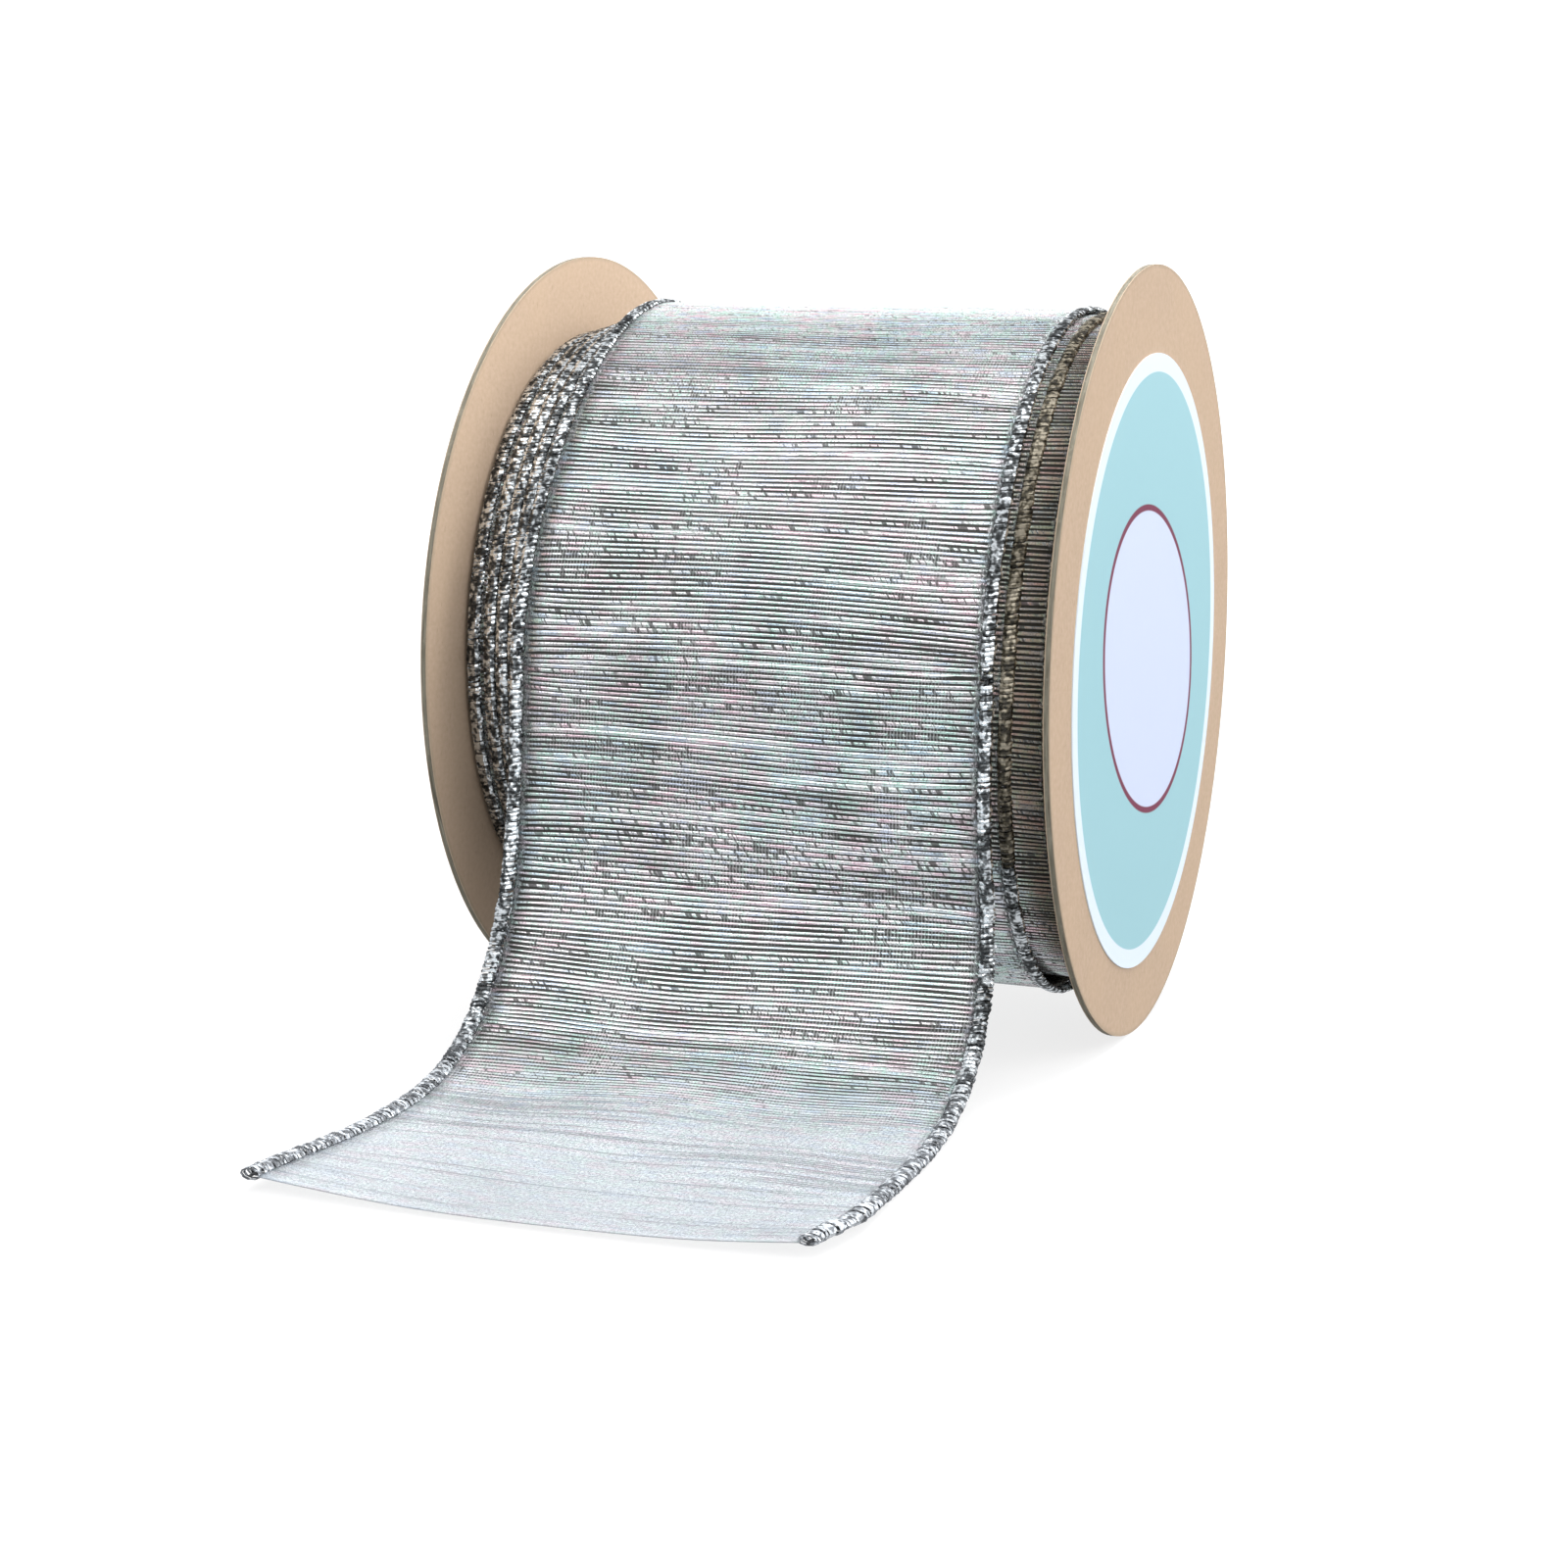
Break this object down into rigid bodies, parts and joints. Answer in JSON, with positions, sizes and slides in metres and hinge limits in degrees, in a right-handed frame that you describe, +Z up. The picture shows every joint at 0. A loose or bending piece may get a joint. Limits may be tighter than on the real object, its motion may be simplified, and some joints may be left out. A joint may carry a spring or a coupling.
{
  "type": "ribbon spool",
  "caption": "Round card spool wound with wide wired metallic ribbon, standing on its rims with a loose ribbon end on the floor.",
  "frame": {"origin": "on the spool's axis, halfway between the two flanges", "axes": "+X along the axis towards the labelled flange, +Z up when the spool stands on its rims, -Y towards the loose end of the ribbon"},
  "size_m": [0.0818, 0.1646, 0.1016],
  "materials": {
    "grey_board": "rough grey chipboard",
    "kraft_paper": "matt tan kraft paper with fine fibres",
    "glue": "dried white glue",
    "label_paper": "satin printed paper",
    "tape": "clear adhesive tape",
    "silver_fabric": "sheer silver fabric with metallic cross threads",
    "tinsel_edging": "overlocked metallic thread",
    "wire": "thin annealed wire"
  },
  "bodies": {
    "spool": {"left_flange_board": "grey_board", "left_flange_inner_facing": "kraft_paper", "left_flange_outer_facing": "kraft_paper", "right_flange_board": "grey_board", "right_flange_inner_facing": "kraft_paper", "right_flange_outer_facing": "kraft_paper", "core_tube": "grey_board", "core_cover": "kraft_paper", "left_glue_bead": "glue", "right_glue_bead": "glue", "round_label": "label_paper", "start_tape": "tape", "wound_ribbon": "silver_fabric", "wound_left_edging": "tinsel_edging", "wound_right_edging": "tinsel_edging", "wound_left_wire": "wire", "wound_right_wire": "wire", "outer_turn": "silver_fabric", "outer_left_edging": "tinsel_edging", "outer_right_edging": "tinsel_edging", "outer_left_wire": "wire", "outer_right_wire": "wire"},
    "tail": {"ribbon_tail": "silver_fabric", "tail_left_edging": "tinsel_edging", "tail_right_edging": "tinsel_edging", "tail_left_wire": "wire", "tail_right_wire": "wire"}
  },
  "joints": [
    {"name": "tail_lift", "type": "hinge", "parent": "spool", "child": "tail", "pos_m": [0, -0.0453, 0], "axis": [-1, 0, 0], "range_deg": [0, 80]}
  ]
}
